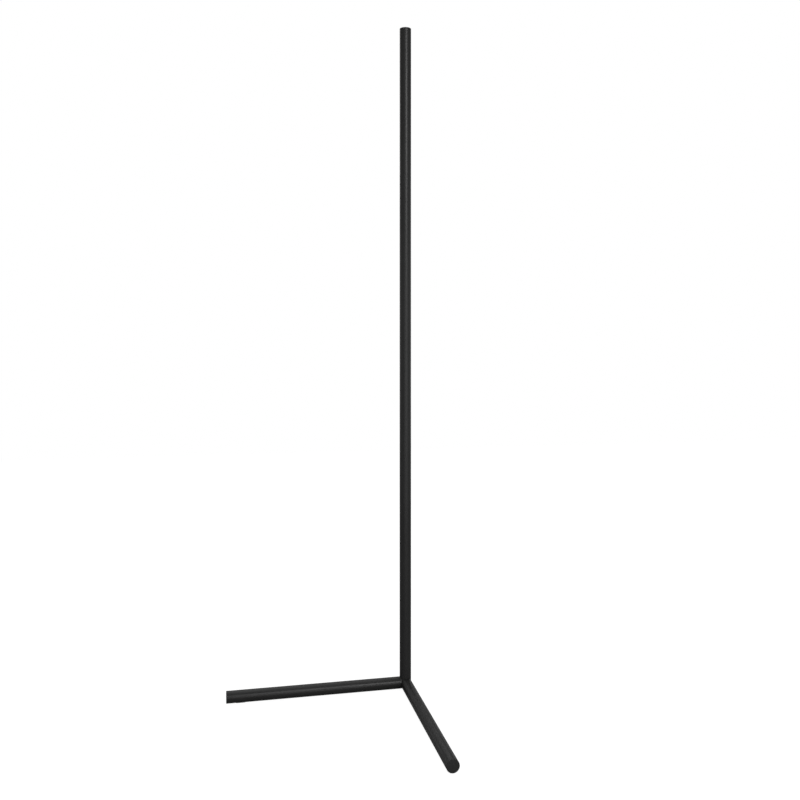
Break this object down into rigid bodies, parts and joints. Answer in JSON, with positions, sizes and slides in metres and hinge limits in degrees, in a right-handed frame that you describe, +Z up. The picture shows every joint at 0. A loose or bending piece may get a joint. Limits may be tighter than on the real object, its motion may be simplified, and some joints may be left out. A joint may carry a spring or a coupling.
{
  "type": "corner floor lamp",
  "caption": "Slim round light pole on a corner hub with two round floor legs at a right angle; the light channel faces the corner behind it.",
  "frame": {"origin": "on the floor, under the axis of the pole, at the middle of the hub's foot", "axes": "+Z runs up the pole; the left leg runs along -X and the front leg along -Y, so the light channel faces between +X and +Y"},
  "size_m": [0.3976, 0.3976, 1.444],
  "materials": {
    "black_powder_coat": "satin black powder coat on steel or die-cast metal",
    "black_aluminium": "extruded aluminium, satin black powder coat",
    "plain_aluminium": "mill finish",
    "black_plastic": "moulded, fine satin grain",
    "milky_plastic": "extruded translucent white diffuser plastic, satin",
    "black_rubber": "matte",
    "screw_steel": "black oxide",
    "white_board": "white solder mask on flexible board",
    "tape": "double-sided adhesive tape",
    "light_chip": "white package with a yellow phosphor window",
    "resistor": "black glaze",
    "contact": "nickel plated",
    "lead_sheath": "soft vinyl sheath"
  },
  "bodies": {
    "root": {"corner_hub": "black_powder_coat", "left_leg_tube": "black_powder_coat", "front_leg_tube": "black_powder_coat", "left_leg_cap": "black_plastic", "front_leg_cap": "black_plastic", "left_leg_foot": "black_rubber", "front_leg_foot": "black_rubber", "hub_foot": "black_rubber", "leg_screws": "screw_steel", "pole_lower": "black_aluminium", "pole_middle": "black_aluminium", "pole_upper": "black_aluminium", "lower_joiner": "plain_aluminium", "middle_joiner": "plain_aluminium", "pole_screws": "screw_steel", "top_cap": "black_plastic", "diffuser_lower": "milky_plastic", "diffuser_middle": "milky_plastic", "diffuser_upper": "milky_plastic", "strip_tape": "tape", "light_strip": "white_board", "light_chips": "light_chip", "strip_resistors": "resistor", "inlet_body": "black_plastic", "inlet_pin": "contact", "inlet_leaf": "contact", "ribbon_lead": "lead_sheath"}
  },
  "joints": []
}
